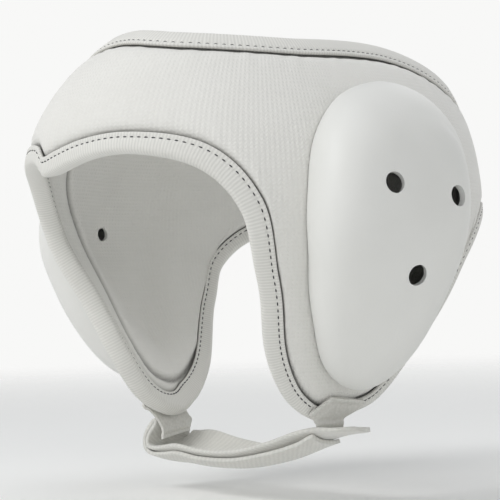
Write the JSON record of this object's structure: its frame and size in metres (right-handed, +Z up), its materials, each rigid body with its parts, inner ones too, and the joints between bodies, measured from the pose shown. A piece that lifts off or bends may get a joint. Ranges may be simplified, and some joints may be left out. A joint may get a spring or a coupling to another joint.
{
  "type": "ear guard",
  "caption": "Padded sports ear guard: a soft head band with an open crown, flaps with pierced domed ear cups, bound edges and a doubled chin strap.",
  "frame": {"origin": "middle of the head hollow, at the level where the head is measured round the forehead", "axes": "+Z up, the wearer faces -Y, and the wearer's left ear is at +X"},
  "size_m": [0.21, 0.1878, 0.1741],
  "materials": {
    "padding": "knitted polyester over foam, matte",
    "binding": "ribbed woven tape, matte",
    "ear_cup": "moulded foam with a fine satin skin",
    "strap_tab": "coated synthetic leather, satin",
    "strap": "brushed loop webbing, matte"
  },
  "bodies": {
    "root": {"padded_band": "padding", "edge_binding": "binding", "crown_binding": "binding", "ear_cup_left": "ear_cup", "ear_cup_right": "ear_cup", "strap_tab_left": "strap_tab", "strap_tab_right": "strap_tab", "chin_strap": "strap"}
  },
  "joints": []
}
